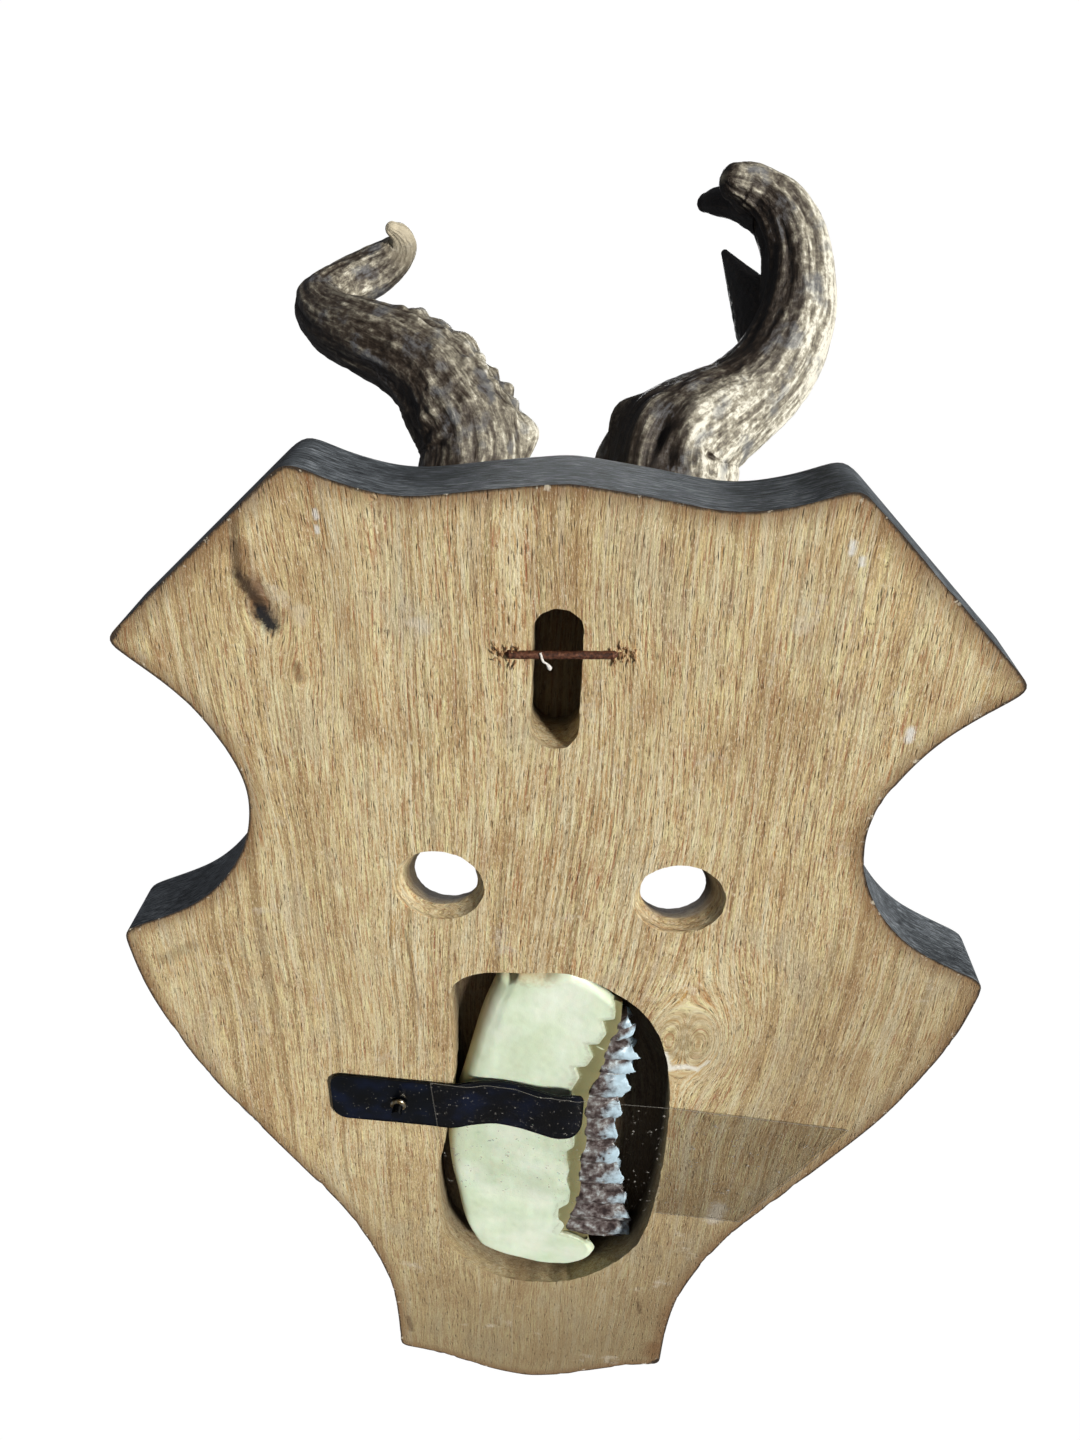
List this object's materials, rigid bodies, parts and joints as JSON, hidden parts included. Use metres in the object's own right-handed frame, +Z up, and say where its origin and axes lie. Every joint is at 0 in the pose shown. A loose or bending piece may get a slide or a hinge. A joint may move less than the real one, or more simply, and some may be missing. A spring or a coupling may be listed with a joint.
{
  "type": "roe deer antler trophy",
  "caption": "Wall shield of carved wood that carries a roe buck's skull cap and antlers on its front, and half of the lower jaw in a pocket in its back.",
  "frame": {"origin": "the middle of the hanging wire, in the plane of the shield's back face, where the wall nail carries the trophy", "axes": "+Z up along the shield, +Y out of the back face towards the wall, +X the buck's left, which is on the left when the trophy is seen from behind"},
  "size_m": [0.1434, 0.0888, 0.2574],
  "materials": {
    "board_wood": "raw oak on the back, satin black stain on the edges and front",
    "skull_bone": "dry bleached bone",
    "antler": "dark brown antler, pearled and grooved, paler on its ridges",
    "screw_brass": "dull",
    "jaw_bone": "boiled bone with brown stains",
    "tooth_enamel": "stained enamel with pale cusps",
    "blued_steel": "blued spring steel, satin",
    "nail_steel": "bright",
    "rusty_iron": "rusty wire",
    "clear_film": "thin clear adhesive film, creased"
  },
  "bodies": {
    "root": {"shield_board": "board_wood", "skull_cap": "skull_bone", "antler_left": "antler", "antler_right": "antler", "antler_right_tine": "antler", "skull_screw": "screw_brass", "jaw_bone": "jaw_bone", "premolar_2": "tooth_enamel", "premolar_3": "tooth_enamel", "premolar_4": "tooth_enamel", "molar_1": "tooth_enamel", "molar_2": "tooth_enamel", "molar_3": "tooth_enamel", "jaw_clip": "blued_steel", "clip_nail": "nail_steel", "hanging_wire": "rusty_iron", "clear_film": "clear_film"}
  },
  "joints": []
}
